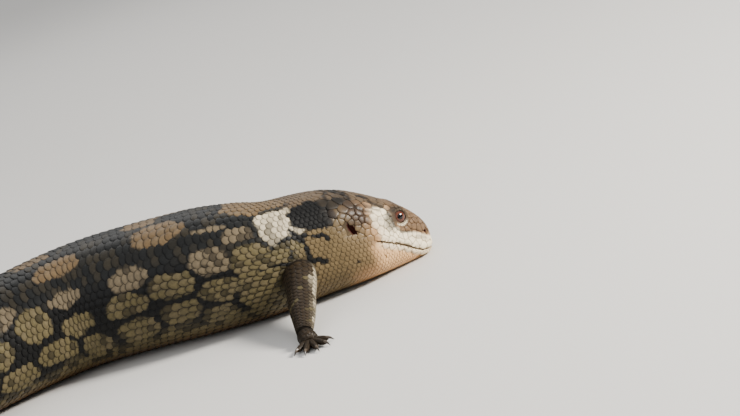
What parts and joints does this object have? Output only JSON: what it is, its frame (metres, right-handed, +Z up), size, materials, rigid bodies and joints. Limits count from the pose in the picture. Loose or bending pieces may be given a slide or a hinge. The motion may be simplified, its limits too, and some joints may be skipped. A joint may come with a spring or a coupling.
{
  "type": "blotched blue-tongued skink",
  "caption": "Life-size blue-tongued skink lying at rest on its belly, with a broad head, stout body, short spread legs and a tapering tail curved to one side.",
  "frame": {"origin": "on the floor, under the middle of the whole animal's box", "axes": "+X towards the head, +Y to the animal's left, +Z up"},
  "size_m": [0.3988, 0.1756, 0.057],
  "materials": {
    "head_skin": "smooth satin shields",
    "body_skin": "satin overlapping scales with pale blotches on near-black",
    "limb_skin": "satin small scales",
    "eye": "wet gloss, red-brown iris and dark pupil",
    "claw": "semi-gloss horn"
  },
  "bodies": {
    "root": {"head": "head_skin", "eye_right": "eye", "eye_left": "eye", "neck": "body_skin", "torso_front": "body_skin", "torso_middle": "body_skin", "torso_rear": "body_skin", "tail_base": "body_skin", "tail_middle": "body_skin", "tail_tip": "body_skin", "upper_arm_right": "limb_skin", "forearm_right": "limb_skin", "hand_right": "limb_skin", "upper_arm_left": "limb_skin", "forearm_left": "limb_skin", "hand_left": "limb_skin", "thigh_right": "limb_skin", "shin_right": "limb_skin", "foot_right": "limb_skin", "thigh_left": "limb_skin", "shin_left": "limb_skin", "foot_left": "limb_skin"}
  },
  "joints": []
}
